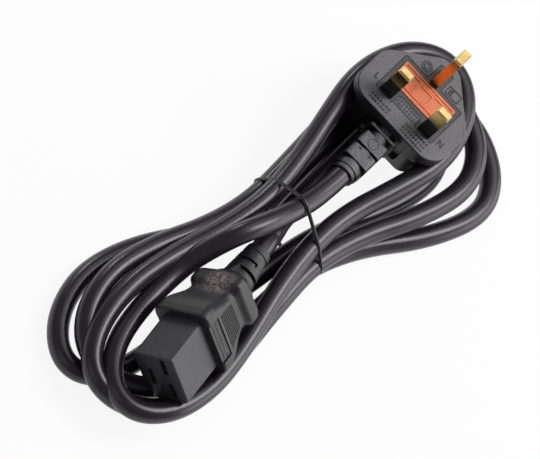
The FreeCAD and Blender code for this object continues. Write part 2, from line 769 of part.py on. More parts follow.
def connector_insert():
    """Nose with its three slots and the chambers behind them."""
    end = NOSE_LENGTH + NOSE_ROOT
    nose = block_xz(NOSE_WIDTH / 2, NOSE_DEPTH / 2, NOSE_CORNER, 0.0, end)
    nose = nose.makeFillet(0.4, edges_at(nose, "y", 0.0))
    half_x, half_z = contact_half_sizes()
    tools = []
    for x, z in slots().values():
        tools.append(slab(x, SLOT_LENGTH / 2, -1.0, SLOT_SKIN + 1, z - SLOT_WIDTH / 2, z + SLOT_WIDTH / 2))
        room_x = half_x + CONTACT_GAP
        room_z = half_z + CONTACT_GAP
        tools.append(slab(x, room_x, SLOT_SKIN, end, z - room_z, z + room_z))
    return cut_all(nose, tools)


def connector_contact(x, z):
    """Sprung box contact with a tail and a crimp for its core."""
    half_x, half_z = contact_half_sizes()
    start = SLOT_SKIN + CONTACT_GAP
    stop = start + CONTACT_LENGTH
    shell = slab(x, half_x, start, stop, z - half_z, z + half_z)
    room_z = half_z - CONTACT_WALL
    shell = shell.cut(slab(x, half_x - CONTACT_WALL, start, stop, z - room_z, z + room_z))
    tail_end = stop + CONTACT_TAIL
    tail = slab(x, CONTACT_TAIL_WIDTH / 2, stop - 1.0, tail_end + 2.0, z + room_z, z + half_z)
    at = contact_crimp(x, z)
    barrel = crimp(at, Vector(0, 1, 0))
    return fuse_all([shell, tail, barrel]).cut(core_end_room(at))


def contact_crimp(x, z):
    """Where the core enters a contact's crimp, on the cord's side."""
    half_z = contact_half_sizes()[1]
    start = SLOT_SKIN + CONTACT_GAP + CONTACT_LENGTH + CONTACT_TAIL
    return Vector(x, start, z + half_z - CORE_RADIUS - CRIMP_WALL + 0.1)


def connector_core(x, z):
    """Core from the crimp to the cord's end inside the connector."""
    at = contact_crimp(x, z)
    share = CORE_SPREAD / max(1.0, sqrt(x * x + z * z))
    end = Vector(x * share, CONNECTOR_CORD_START, z * share)
    first = at + Vector(0, 0.5, 0)
    bend_a = at + Vector(0, CRIMP_LENGTH + 1.5, 0)
    bend_b = end + Vector(0, -5.0, 0)
    return [first, bend_a, bend_b, end]


def ease(share):
    return share * share * (3 - 2 * share)


# The connector's outline from its collar to its neck: station, half width, half depth, corner, steps
CONNECTOR_KEYS = [
    (COLLAR_STRAIGHT, COLLAR_HALF_WIDTH, COLLAR_HALF_DEPTH, COLLAR_CORNER, 7),
    (WAIST_Y, WAIST_HALF_WIDTH, WAIST_HALF_DEPTH, WAIST_CORNER, 4),
    (STOP_START, STOP_HALF_WIDTH, STOP_HALF_DEPTH, STOP_CORNER, 1),
    (STOP_END, STOP_HALF_WIDTH, STOP_HALF_DEPTH, STOP_CORNER, 4),
    (NECK_Y, NECK_RADIUS, NECK_RADIUS, NECK_RADIUS - 1.5, 0),
]


def connector_station(y):
    """Half width, half depth and corner radius of the connector at a station, eased from key to key."""
    for first, second in zip(CONNECTOR_KEYS, CONNECTOR_KEYS[1:]):
        if y <= second[0]:
            share = ease((y - first[0]) / (second[0] - first[0]))
            return [a + (b - a) * share for a, b in zip(first[1:4], second[1:4])]
    return list(CONNECTOR_KEYS[-1][1:4])


def connector_shell():
    """Collar round the nose, waist for the fingers, stop and neck."""
    collar = block_xz(COLLAR_HALF_WIDTH, COLLAR_HALF_DEPTH, COLLAR_CORNER, NOSE_LENGTH, COLLAR_STRAIGHT)
    collar = collar.makeFillet(COLLAR_EDGE, edges_at(collar, "y", NOSE_LENGTH))
    stations = []
    for first, second in zip(CONNECTOR_KEYS, CONNECTOR_KEYS[1:]):
        steps = first[4]
        stations += [first[0] + (second[0] - first[0]) * i / steps for i in range(steps)]
    stations.append(NECK_Y)
    sections = []
    for y in stations:
        half_width, half_depth, corner = connector_station(y)
        sections.append(section_xz(half_width, half_depth, corner, y))
    return collar.fuse(Part.makeLoft(sections, True, True))


def slot_ring(y, turned):
    """One band of the relief's staggered slots: open on two opposite sides."""
    outer = rod_y(NECK_RADIUS + 3, RELIEF_SLOT, 0.0, y, 0.0)
    ring = outer.cut(rod_y(STEM_RADIUS, RELIEF_SLOT, 0.0, y, 0.0))
    reach = NECK_RADIUS + 4
    bridge = 2.2
    if turned:
        keep = box(-bridge, bridge, y, y + RELIEF_SLOT, -reach, reach)
    else:
        keep = box(-reach, reach, y, y + RELIEF_SLOT, -bridge, bridge)
    return ring.cut(keep)


def connector_relief():
    start = NECK_Y - 2.0
    length = CONNECTOR_LENGTH - start
    way = Vector(0, 1, 0)
    cone = Part.makeCone(NECK_RADIUS - 0.5, CONNECTOR_END_RADIUS, length, Vector(0, start, 0), way)
    cone = cone.makeFillet(0.5, edges_at(cone, "y", CONNECTOR_LENGTH))
    tools = []
    for i in range(3):
        tools.append(slot_ring(RELIEF_SLOT_FIRST + i * RELIEF_SLOT_PITCH, i % 2 == 1))
    return cut_all(cone, tools)


def grip_panels():
    """On each wide side a recessed label panel behind the lip, then fine ribs towards the waist."""
    tools = []
    reach = 6.0
    for side in (-1, 1):
        label = side * (COLLAR_HALF_DEPTH - LABEL_DEPTH)
        tools.append(box(
            -LABEL_HALF_WIDTH, LABEL_HALF_WIDTH, NOSE_LENGTH - 1.0, LABEL_BACK,
            min(label, label + side * reach), max(label, label + side * reach),
        ))
        for i in range(RIB_COUNT):
            y = RIB_FIRST + i * RIB_PITCH
            half = RIB_HALF_LENGTH - RIB_NARROWING * i
            floor = side * (connector_station(y)[1] - RIB_DEPTH)
            tools.append(box(
                -half, half, y - RIB_WIDTH / 2, y + RIB_WIDTH / 2,
                min(floor, floor + side * reach), max(floor, floor + side * reach),
            ))
    return tools


def connector_overmould():
    body = connector_shell().fuse(connector_relief())
    end = NOSE_LENGTH + NOSE_ROOT + FIT
    tools = [block_xz(NOSE_WIDTH / 2 + FIT, NOSE_DEPTH / 2 + FIT, NOSE_CORNER, NOSE_LENGTH - 1.0, end)]
    bore_length = CONNECTOR_LENGTH - CONNECTOR_CORD_START + 1
    tools.append(rod_y(CORD_RADIUS + FIT, bore_length, 0.0, CONNECTOR_CORD_START, 0.0))
    half = CORE_RADIUS + CRIMP_WALL + FIT
    for x, z in slots().values():
        at = contact_crimp(x, z)
        tools.append(tube(connector_core(x, z), CORE_RADIUS + FIT))
        stop = at.y + CRIMP_LENGTH + FIT
        tools.append(slab(at.x, half, end - FIT, stop, at.z - half, at.z + half + 0.2))
    return cut_all(body, tools + grip_panels())


def connector_lead_points():
    """Cord from inside the connector back towards the tie."""
    along = Vector(CONNECTOR_ALONG)
    along.normalize()
    inner = CONNECTOR_FACE + along * CONNECTOR_CORD_START
    mouth = CONNECTOR_FACE + along * (CONNECTOR_LENGTH + CONNECTOR_LEAD_MOUTH)
    return [inner, mouth] + CONNECTOR_LEAD_BENDS


def plan_layer(points, low, high):
    """Slab with a smooth closed outline, between two heights above the surface."""
    curve = Part.BSplineCurve()
    curve.interpolate(Points=[Vector(x, y, FLOOR_Z + low) for x, y in points], PeriodicFlag=True)
    return Part.Face(Part.Wire([curve.toShape()])).extrude(Vector(0, 0, high - low))


# Outlines seen from above: the floor turns, the turns above them, and the top turn round the plug
LOW_OUTSIDE = [
    (54.0, 8.0), (46.0, 33.0), (16.0, 44.0), (-14.0, 40.0), (-28.6, 12.0), (-24.0, -32.0),
    (-21.1, -70.0), (-36.0, -108.0), (-47.0, -146.0), (-37.0, -180.0), (-4.0, -191.0),
    (24.0, -179.0), (31.0, -146.0), (26.5, -108.0), (22.0, -71.0), (37.0, -26.0),
]
LOW_LEFT_HOLE = [
    (-3.0, -112.0), (-8.5, -135.0), (-8.0, -158.0), (3.0, -171.0), (14.0, -160.0), (14.0, -135.0),
    (8.0, -112.0),
]
LOW_RIGHT_HOLE = [
    (8.0, -38.0), (16.0, -8.0), (13.0, 18.0), (0.0, 26.0), (-12.0, 14.0), (-13.0, -12.0), (-6.0, -36.0),
]
MIDDLE_OUTSIDE = [
    (42.0, 8.0), (36.0, 30.0), (12.0, 42.0), (-14.0, 37.0), (-27.0, 12.0), (-22.0, -30.0),
    (-19.0, -70.0), (-33.0, -108.0), (-43.0, -146.0), (-34.0, -177.0), (-4.0, -189.0),
    (23.0, -176.0), (30.0, -146.0), (25.0, -108.0), (20.0, -70.0), (32.0, -28.0),
]
MIDDLE_LEFT_HOLE = [
    (-5.0, -112.0), (-11.0, -140.0), (-8.0, -168.0), (5.0, -180.0), (18.0, -168.0), (21.0, -140.0),
    (12.0, -112.0),
]
UPPER_RIGHT_HOLE = [
    (9.5, -42.0), (18.0, -18.0), (18.0, 10.0), (9.0, 28.0), (-9.0, 28.0), (-17.5, 10.0), (-17.5, -18.0),
    (-9.0, -42.0),
]
UPPER_OUTSIDE = [
    (29.0, 4.0), (22.0, 31.0), (0.0, 42.0), (-21.5, 31.0), (-28.3, 4.0), (-24.0, -24.0),
    (-18.0, -52.0), (-13.0, -77.0), (13.0, -77.0), (17.5, -52.0), (25.0, -24.0),
]
CREST_OUTSIDE = [
    (28.6, 4.0), (21.6, 30.8), (0.0, 41.8), (-21.2, 30.8), (-28.0, 4.0), (-23.6, -24.0),
    (-14.0, -47.0), (14.0, -47.0), (24.6, -24.0),
]


def plug_room():
    """The plug's body below its rim, grown by the clearance."""
    start = -RIM_DEPTH
    rooms = []
    steps = 3
    sections = []
    for i in range(steps + 1):
        share = i / steps
        z = start - (RIM_BLEND + HANK_CLEARANCE) * share
        blend = 0.5 - 0.5 * cos(pi * share)
        grow = HANK_CLEARANCE * 1.6
        sections.append(plug_outline(
            FACE_HALF_WIDTH + (GRIP_HALF_WIDTH - FACE_HALF_WIDTH) * blend + grow,
            FACE_BOTTOM - grow,
            FACE_SHOULDER,
            FACE_TOP + (GRIP_TOP - FACE_TOP) * blend + grow,
            FACE_TOP_HALF,
            z,
            GRIP_CORNERS,
        ))
    last = sections[-1]
    rooms.append(Part.makeLoft(sections, True, True))
    depth = PLUG_DEPTH + HANK_CLEARANCE + last.BoundBox.ZMin
    rooms.append(Part.Face(last).extrude(Vector(0, 0, -depth)))
    return rooms


def relief_room():
    half = FLANGE_HALF_WIDTH + HANK_CLEARANCE
    low = LEAD_Z - BLOCK_HALF_HEIGHT - HANK_CLEARANCE
    return box(LEAD_X - half, LEAD_X + half, RELIEF_END - HANK_CLEARANCE, FACE_BOTTOM + 2.0, low, 0.0)


def connector_room():
    grow = 2.5 * HANK_CLEARANCE
    body = block_xz(COLLAR_HALF_WIDTH + grow, COLLAR_HALF_DEPTH + grow, 5.0, -HANK_CLEARANCE, NECK_Y)
    length = CONNECTOR_LENGTH - NECK_Y + HANK_CLEARANCE
    relief = rod_y(NECK_RADIUS + HANK_CLEARANCE, length, 0.0, NECK_Y, 0.0)
    return [lay(body), lay(relief)]


def lead_room(points, clearance):
    """Room in the hank round a lead and past its end."""
    radius = CORD_RADIUS + clearance
    end = points[-1]
    way = (end - points[-2]).normalize()
    return [tube(points, radius), tube([end - way, end + way * HANK_CLEARANCE], radius)]


def hank():
    """Outer shape of the cord's four loose turns, drawn in at the tie."""
    low = plan_layer(LOW_OUTSIDE, 0.0, LOW_TOP)
    holes = [plan_layer(outline, -1.0, LOW_TOP + 1) for outline in (LOW_LEFT_HOLE, LOW_RIGHT_HOLE)]
    low = cut_all(low, holes)
    middle = plan_layer(MIDDLE_OUTSIDE, LOW_TOP, MIDDLE_TOP)
    middle = middle.cut(plan_layer(MIDDLE_LEFT_HOLE, LOW_TOP - 1, MIDDLE_TOP + 1))
    upper = plan_layer(UPPER_OUTSIDE, MIDDLE_TOP, WAIST_TOP)
    crest = plan_layer(CREST_OUTSIDE, WAIST_TOP, CREST_TOP)
    turns = fuse_all([low, middle, upper, crest])
    tools = [plan_layer(UPPER_RIGHT_HOLE, LOW_TOP, CREST_TOP + 1), relief_room()]
    tools += plug_room() + lead_room(PLUG_LEAD, HANK_CLEARANCE)
    tools += lead_room(connector_lead_points(), CONNECTOR_LEAD_CLEARANCE) + connector_room()
    under_tie = FLOOR_Z + TIE_STRIP + 2 * HANK_CLEARANCE
    tools.append(centred(0.0, TIE_ROOM_HALF_X, TIE_Y, TIE_ROOM_HALF_Y, FLOOR_Z - 1.0, under_tie))
    return cut_all(turns, tools)


def tie_wire(grow):
    """Outline of the tie round the bundle, in a slanted upright plane."""
    points = []
    for x, h in TIE_CORNERS:
        out_x = grow if x > TIE_MIDDLE[0] else -grow
        out_h = grow if h > TIE_MIDDLE[1] else -grow
        points.append(Vector(x + out_x, TIE_Y - TIE_SLANT * (x + out_x), FLOOR_Z + h + out_h))
    return rounded_wire(points, TIE_CORNER_RADII)


def cord_tie():
    """Thin flat tie drawn once round the waist of the hank and the plug's lead."""
    across = Vector(TIE_SLANT, 1.0, 0.0)
    across.normalize()
    outer = Part.Face(tie_wire(TIE_STRIP)).extrude(across * TIE_WIDTH)
    inner = Part.Face(tie_wire(0.0)).extrude(across * TIE_WIDTH)
    return outer.cut(inner)


def write(name, shape):
    solids = len(shape.Solids)
    print("%-20s solids %d  valid %s  volume %.1f" % (name, solids, shape.isValid(), shape.Volume))
    shape.exportStep("parts/%s.step" % name)


def main():
    clip_line = pin_clip()
    clip_supply = supply_clip()
    terminal_neutral = neutral_terminal()
    terminal_earth = earth_terminal()
    terminals = [clip_line, clip_supply, terminal_neutral, terminal_earth]
    write("plug_overmould", plug_overmould(terminals))
    write("plug_insert", plug_insert())
    write("earth_pin", earth_pin())
    write("line_pin", moved(power_pin(), -PIN_HALF_SPACING, 0, 0))
    write("neutral_pin", moved(power_pin(), PIN_HALF_SPACING, 0, 0))
    write("line_sleeve", moved(pin_sleeve(), -PIN_HALF_SPACING, 0, 0))
    write("neutral_sleeve", moved(pin_sleeve(), PIN_HALF_SPACING, 0, 0))
    write("fuse_carrier", fuse_carrier())
    write("fuse_tube", fuse_tube())
    write("fuse_cap_line", fuse_cap(-1))
    write("fuse_cap_supply", fuse_cap(1))
    write("fuse_clip_line", clip_line)
    write("fuse_clip_supply", clip_supply)
    write("neutral_terminal", terminal_neutral)
    write("earth_terminal", terminal_earth)
    write("plug_core_line", tube(LINE_CORE, CORE_RADIUS))
    write("plug_core_neutral", tube(NEUTRAL_CORE, CORE_RADIUS))
    write("plug_core_earth", tube(EARTH_CORE, CORE_RADIUS))
    write("connector_overmould", lay(connector_overmould()))
    write("connector_insert", lay(connector_insert()))
    for name, (x, z) in slots().items():
        write("contact_%s" % name, lay(connector_contact(x, z)))
        write("connector_core_%s" % name, lay(tube(connector_core(x, z), CORE_RADIUS)))
    write("plug_lead", tube(PLUG_LEAD, CORD_RADIUS))
    report_cord("plug_lead", PLUG_LEAD, CORD_RADIUS)
    connector_lead = connector_lead_points()
    write("connector_lead", tube(connector_lead, CORD_RADIUS))
    report_cord("connector_lead", connector_lead, CORD_RADIUS)
    write("hank", hank())
    write("cord_tie", cord_tie())


main()
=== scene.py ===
from math import cos, pi, sin

import bmesh
import bpy
from mathutils import Matrix, Vector
from mathutils.geometry import convex_hull_2d


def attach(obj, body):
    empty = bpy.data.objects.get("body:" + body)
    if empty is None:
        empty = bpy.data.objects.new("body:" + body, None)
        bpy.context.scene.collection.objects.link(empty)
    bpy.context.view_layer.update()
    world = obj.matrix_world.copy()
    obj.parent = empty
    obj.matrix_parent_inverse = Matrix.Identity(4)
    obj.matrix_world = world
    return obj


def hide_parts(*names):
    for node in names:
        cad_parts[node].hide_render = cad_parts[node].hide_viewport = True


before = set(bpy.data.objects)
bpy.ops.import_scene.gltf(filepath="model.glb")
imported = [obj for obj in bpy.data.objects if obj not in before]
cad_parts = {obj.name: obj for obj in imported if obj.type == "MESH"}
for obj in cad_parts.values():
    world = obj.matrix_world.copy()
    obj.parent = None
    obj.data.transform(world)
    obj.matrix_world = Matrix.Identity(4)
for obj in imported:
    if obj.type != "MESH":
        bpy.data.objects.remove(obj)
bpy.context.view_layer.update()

MM = 0.001

# Where the photograph was taken from: its axes in the object's frame, and its scale
PHOTO_WIDTH = 540
PHOTO_HEIGHT = 459
PIXELS_PER_MM = 2.49
ORIGIN_PIXEL = (407.9, 109.7)
VIEW_RIGHT = Vector((0.6848, 0.5882, 0.4295))
VIEW_DOWN = Vector((0.7285, -0.5681, -0.3832))
CAMERA_DISTANCE = 5.0
CAMERA_REACH = 50.0
FOCUS_DEPTH = -26.8 * MM
SENSOR = 36.0

# Soft boxes: the way to each, its distance, its size and its power
LIGHTS = [
    ("key", (0.38, 0.46, 0.80), 1.35, 0.66, 8.5),
    ("low spark", (-0.79, 0.54, 0.29), 1.30, 0.20, 1.6),
    ("overhead", (0.05, 0.55, 0.83), 1.35, 1.3, 4.4),
    ("right card", (0.77, 0.63, 0.12), 1.2, 1.2, 10.0),
    ("front", (-0.3, -0.8, 0.5), 1.3, 0.9, 0.8),
]
LIGHTS_FACE = (0.0, -0.075, 0.0)
ROOM_LIGHT = 0.22
FLOOR_SIZE = 6.0
FLOOR_WHITE = 0.9
WHITE = (1.0, 1.0, 1.0, 1.0)

# The surface that the hank lies on, and the cord
FLOOR_Z = -35.0
CORD_DIAMETER = 9.0
CORD_STEPS_PER_POINT = 10
CORD_ROUNDNESS = 8
WAIST_Y = -70.0
TURNS = "DCBA"

# The points of the cord's free stretch from the plug, and of its last one into the connector
LEAD = [
    (0.5, -36.0, -10.5),
    (0.5, -45.0, -10.5),
    (-0.8, -62.0, -9.3),
    (-5.5, -82.6, -4.8),
    (-10.9, -98.4, -4.4),
    (-14.9, -110.0, -11.0),
    (-17.4, -121.4, -18.6),
]
TAIL = [(-3.2, -67.0, -20.6), (-1.2, -78.6, -17.6), (-0.76, -88.4, -10.2), (0.98, -103.0, -10.7)]

# Each turn's end loops: centre, half width on the upper and lower side, half length, heights
# above the surface on the upper side, at the tip and on the lower side
LEFT_LOOPS = {
    "D": (5.0, -147.5, 22.2, 21.2, 38.5, 14.0, 15.0, 12.5),
    "C": (-7.0, -147.0, 19.8, 32.0, 40.0, 17.0, 12.5, 4.5),
    "B": (-13.8, -145.0, 21.9, 30.0, 34.5, 13.5, 10.5, 4.5),
    "A": (-19.8, -148.0, 22.9, 19.0, 38.0, 4.5, 4.5, 4.5),
}
RIGHT_LOOPS = {
    "D": (0.3, 2.0, 24.9, 24.9, 38.5, 24.0, 24.0, 24.0),
    "C": (8.6, 7.5, 28.6, 31.7, 29.5, 14.0, 15.0, 15.0),
    "B": (17.0, 12.5, 31.0, 35.5, 29.5, 4.5, 4.5, 4.5),
    "A": (11.0, 2.0, 16.0, 17.0, 24.0, 6.0, 4.5, 4.5),
}
LOWER_WAIST = {"D": (12.5, 19.0), "C": (18.3, 13.5), "B": (17.5, 4.5), "A": (8.5, 4.5)}
UPPER_WAIST = {"D": (-13.1, 19.7), "C": (-16.6, 11.4), "B": (-11.5, 4.5)}
LOWER_LEG_PULL = {"D": 1.8}
UPPER_LEG_PULL = {"B": 0.8}
RIGHT_UPPER_LEG_PULL = 0.7
LOOP_POINTS = 6
LEG_POINTS = 2

# The tie round the waist: its plane, its section as places across it and how far each stands
# out, and where the last stretch and the lead pass through it, across and above the surface
TIE_Y = -66.1
TIE_SLANT = 0.23
TIE_THICKNESS = 0.6
TIE_PROUD = 0.65
TIE_SECTION = [
    (-0.85, 0.0), (-0.85, 0.35), (-0.45, 0.45), (-0.25, 0.95),
    (0.25, 0.95), (0.45, 0.45), (0.85, 0.35), (0.85, 0.0),
]
TAIL_AT_TIE = (-3.2, 14.4)
LEAD_AT_TIE = (-2.3, 27.2)

# Marks on the face: letters, frames and rings with their places, and blocks of pads with their
# columns, rows, length, height and middle
MARK_RISE = 0.16
LETTER_SIZE = 4.0
LETTER_BOLDNESS = 0.16
RIDGE_WIDTH = 0.5
CIRCLE_SIDES = 32
PAD_HEIGHT = 1.1
LETTERS = [("L", -18.7, 0.9), ("N", 19.1, 0.3), ("E", 7.2, 22.0)]
FRAMES = [(8.6, 22.0, 3.6, 2.3), (0.3, 0.3, 5.9, 2.6)]
RINGS = [(-7.2, 22.4, 2.5), (-7.2, 22.4, 1.5)]
PADS = [
    (7, 2, 9.6, 1.9, -10.0, -7.4),
    (7, 2, 8.8, 1.9, 0.3, 0.3),
    (9, 3, 11.6, 4.2, 9.6, -7.0),
]
PAD_SHARE = 0.8
PAD_LEAST = (0.45, 0.8, 1.0)
PAD_MOST = (1.0, 1.0, 1.0)
PAD_INPUTS = {
    "Columns": "Int", "Rows": "Int", "Length": "Float", "Height": "Float", "Pad": "Vector",
    "Place": "Vector", "Seed": "Int", "Material": "Material",
}
SAME_PLACE = 1e-7

# The connector: its face's middle, the way from there to its cord, and its turn about that way
CONNECTOR_FACE = (8.79, -168.5, -13.0)
CONNECTOR_ALONG = (-0.1183, 0.9924, 0.0349)
CONNECTOR_ROLL = 42.0 * pi / 180

# The painted highlight spot on the connector's stop
PAINTED_HIGHLIGHT_PLACE = (-3.0, -123.0, -2.5)
PAINTED_HIGHLIGHT_SIZE = 8.0
PAINTED_HIGHLIGHT_CORE = 0.35

# Marks on the connector's label strip: a block of pads, and a ring beside it
LABEL_MIDDLE = (-1.6, 25.7, 12.6)
LABEL_COLUMNS = 9
LABEL_ROWS = 2
LABEL_LENGTH = 13.0
LABEL_HEIGHT = 1.9
LABEL_SEED = 7
LABEL_RING_X = 9.3
LABEL_RING_RADIUS = 1.5
LABEL_RING_WIDTH = 0.35


def eased(share):
    return share * share * (3 - 2 * share)


def loop_points(loop, side):
    """Half turn round one end, from the upper side at the left, from the lower one at the right."""
    x, y, half_upper, half_lower, half_length, high_upper, high_tip, high_lower = loop
    points = []
    for i in range(LOOP_POINTS):
        share = i / (LOOP_POINTS - 1)
        across = cos(share * pi) * side
        half = half_lower if across > 0 else half_upper
        near_tip = 1 - abs(2 * share - 1)
        edge = high_lower if across > 0 else high_upper
        height = edge + (high_tip - edge) * near_tip
        along = side * sin(share * pi)
        points.append((x + half * across, y + half_length * along, FLOOR_Z + height))
    return points


def leg_points(start, end, pull=1.0):
    """The run between an end loop and the waist."""
    points = []
    for i in range(1, LEG_POINTS + 1):
        share = i / (LEG_POINTS + 1)
        bend = eased(share) ** pull
        points.append((
            start[0] + (end[0] - start[0]) * bend,
            start[1] + (end[1] - start[1]) * share,
            start[2] + (end[2] - start[2]) * bend,
        ))
    return points


def hank_points():
    """Four loose turns, from the top one to the one on the surface."""
    points = []
    for turn, name in enumerate(TURNS):
        left = loop_points(LEFT_LOOPS[name], -1)
        right = loop_points(RIGHT_LOOPS[name], 1)
        lower = (LOWER_WAIST[name][0], WAIST_Y, FLOOR_Z + LOWER_WAIST[name][1])
        points += left + leg_points(left[-1], lower) + [lower]
        points += leg_points(lower, right[0], LOWER_LEG_PULL.get(name, 1.0)) + right
        if name in UPPER_WAIST:
            upper = (UPPER_WAIST[name][0], WAIST_Y, FLOOR_Z + UPPER_WAIST[name][1])
            following = loop_points(LEFT_LOOPS[TURNS[turn + 1]], -1)
            points += leg_points(right[-1], upper, RIGHT_UPPER_LEG_PULL) + [upper]
            points += leg_points(upper, following[0], UPPER_LEG_PULL.get(name, 1.0))
        else:
            points += leg_points(right[-1], TAIL[0])
    return points


def new_mesh_object(name, bm, material, body="plug"):
    mesh = bpy.data.meshes.new(name)
    bm.to_mesh(mesh)
    bm.free()
    piece = bpy.data.objects.new(name, mesh)
    bpy.context.scene.collection.objects.link(piece)
    mesh.materials.append(material)
    if body:
        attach(piece, body)
    return piece


class Sock:
    """A socket with arithmetic: an expression adds its Math nodes."""

    def __init__(self, tree, socket):
        self.tree = tree
        self.socket = socket

    def math(self, operation, *others):
        node = self.tree.nodes.new("ShaderNodeMath")
        node.operation = operation
        for index, value in enumerate((self,) + others):
            if isinstance(value, Sock):
                self.tree.links.new(value.socket, node.inputs[index])
            else:
                node.inputs[index].default_value = value
        return Sock(self.tree, node.outputs[0])

    def __add__(self, other):
        return self.math("ADD", other)

    def __radd__(self, other):
        return self.math("ADD", other)

    def __mul__(self, other):
        return self.math("MULTIPLY", other)

    def __rmul__(self, other):
        return self.math("MULTIPLY", other)


class Tree:
    """A node tree, with one method that adds any node."""

    def __init__(self, tree):
        self.tree = tree

    def node(self, kind, settings=None, inputs=None, output=0):
        node = self.tree.nodes.new(kind)
        for key, value in (settings or {}).items():
            setattr(node, key, value)
        for key, value in (inputs or {}).items():
            if isinstance(value, Sock):
                self.tree.links.new(value.socket, node.inputs[key])
            else:
                node.inputs[key].default_value = value
        return Sock(self.tree, node.outputs[output])


class Finish(Tree):
    """A procedural material on object coordinates."""

    def __init__(self, name):
        self.material = bpy.data.materials.new(name)
        self.material.use_nodes = True
        super().__init__(self.material.node_tree)
        self.shader = self.tree.nodes["Principled BSDF"]
        self.place = self.node("ShaderNodeTexCoord", output="Object")

    def facing_up(self):
        """1 where the surface faces the way the pins point, 0 on the walls."""
        normal = self.node("ShaderNodeTexCoord", output="Normal")
        upright = self.node("ShaderNodeSeparateXYZ", None, {"Vector": normal}, "Z")
        return self.level(upright, low=0.80, high=0.95)

    def noise(self, scale, detail=3.0, roughness=0.55, distortion=0.0):
        return self.node("ShaderNodeTexNoise", None, {
            "Vector": self.place,
            "Scale": scale,
            "Detail": detail,
            "Roughness": roughness,
            "Distortion": distortion,
        })

    def level(self, factor, low, high, out_low=0.0, out_high=1.0):
        return self.node("ShaderNodeMapRange", {"clamp": True}, {
            "Value": factor,
            "From Min": low,
            "From Max": high,
            "To Min": out_low,
            "To Max": out_high,
        })

    def mix(self, factor, first, second):
        inputs = {0: factor, 6: first, 7: second}
        return self.node("ShaderNodeMix", {"data_type": "RGBA"}, inputs, 2)

    def bump(self, height, strength, distance):
        inputs = {"Height": height, "Strength": strength, "Distance": distance}
        return self.node("ShaderNodeBump", None, inputs)

    def set(self, **values):
        names = {
            "colour": "Base Color",
            "roughness": "Roughness",
            "metallic": "Metallic",
            "normal": "Normal",
            "specular": "Specular IOR Level",
        }
        for key, value in values.items():
            socket = self.shader.inputs[names[key]]
            if isinstance(value, Sock):
                self.tree.links.new(value.socket, socket)
            else:
                socket.default_value = value
        return self.material


def colour(red, green, blue):
    return (red, green, blue, 1.0)


def cord_sheath():
    """Satin black sheath, faintly warm, with a few light scuffs."""
    finish = Finish("cord sheath")
    broad = finish.noise(scale=60.0)
    fine = finish.noise(scale=900.0, detail=2.0)
    spots = finish.noise(scale=260.0, detail=4.0, roughness=0.7, distortion=0.8)
    scuff = finish.level(spots, low=0.69, high=0.74)
    base = finish.mix(broad, colour(0.014, 0.010, 0.015), colour(0.024, 0.018, 0.026))
    return finish.set(
        colour=finish.mix(scuff * 0.5, base, colour(0.12, 0.11, 0.12)),
        roughness=0.24 + 0.08 * broad + 0.15 * scuff,
        normal=finish.bump(fine + broad * 2.0, strength=0.04, distance=0.0003),
    )


def body_plastic():
    """Spark texture on what faces the pins' way, its colour painted far lighter there as painted
    light from above; smoother and darker on the walls.
    """
    finish = Finish("body plastic")
    top = finish.facing_up()
    speckle = finish.noise(scale=1700.0, detail=3.0, roughness=0.7)
    broad = finish.noise(scale=60.0)
    light = finish.level(speckle + 0.3 * broad, low=0.50, high=0.85)
    # Painted light: the up-facing colour is raised far above the walls' near black, over its real
    # speckled grain
    face = finish.mix(light, colour(0.062, 0.059, 0.065), colour(0.225, 0.218, 0.232))
    wall = finish.mix(broad, colour(0.010, 0.009, 0.011), colour(0.020, 0.018, 0.021))
    return finish.set(
        colour=finish.mix(top, wall, face),
        roughness=0.34 + 0.12 * top + 0.06 * broad,
        normal=finish.bump(speckle * (0.15 + 0.85 * top), strength=0.55, distance=0.0002),
    )


def plain_plastic(name, dark, light, roughness, grain, strength):
    """Moulded plastic with a fine grain."""
    finish = Finish(name)
    broad = finish.noise(scale=45.0, detail=4.0)
    fine = finish.noise(scale=grain, detail=2.0, roughness=0.6)
    lightness = finish.level(fine + 0.4 * broad, low=0.5, high=0.95)
    return finish.set(
        colour=finish.mix(lightness, dark, light),
        roughness=roughness + 0.10 * fine,
        normal=finish.bump(fine, strength=strength, distance=0.0002),
    )


def connector_plastic():
    """Black plastic with a leather grain, with a pale painted highlight broken into streaks on the
    stop's shoulder.
    """
    finish = Finish("connector plastic")
    grain = finish.noise(scale=1500.0, detail=3.0, roughness=0.65)
    broad = finish.noise(scale=70.0, detail=4.0)
    streaks = finish.noise(scale=800.0, detail=5.0, roughness=0.75)
    away = finish.node("ShaderNodeVectorMath", {"operation": "DISTANCE"}, {
        0: finish.place, 1: [value * MM for value in PAINTED_HIGHLIGHT_PLACE],
    }, "Value")
    edge = PAINTED_HIGHLIGHT_SIZE * MM
    near = finish.level(away, low=PAINTED_HIGHLIGHT_CORE * edge, high=edge, out_low=1.0, out_high=0.0)
    # Painted highlight: a pale pink patch at a fixed spot, streaked by noise, also rougher and
    # bumpier there
    painted_highlight = near * finish.level(streaks, low=0.44, high=0.58)
    base = finish.mix(grain, colour(0.007, 0.006, 0.008), colour(0.024, 0.022, 0.026))
    return finish.set(
        colour=finish.mix(painted_highlight, base, colour(0.42, 0.32, 0.33)),
        roughness=0.33 + 0.12 * broad + 0.15 * painted_highlight,
        normal=finish.bump(grain + 0.6 * painted_highlight, strength=0.45, distance=0.0003),
    )


def brass(name, tone, roughness):
    """Drawn metal with lengthwise brushing."""
    finish = Finish(name)
    stretched = finish.node("ShaderNodeMapping", None, {
        "Vector": finish.place, "Scale": (900.0, 900.0, 40.0),
    })
    brushed = finish.node("ShaderNodeTexNoise", None, {
        "Vector": stretched, "Scale": 1.0, "Detail": 3.0,
    })
    broad = finish.noise(scale=120.0)
    worn = colour(tone[0] * 0.72, tone[1] * 0.66, tone[2] * 0.52)
    return finish.set(
        colour=finish.mix(finish.level(broad, low=0.35, high=0.7), worn, tone),
        metallic=1.0,
        roughness=roughness + 0.14 * brushed,
        normal=finish.bump(brushed, strength=0.10, distance=0.0001),
    )


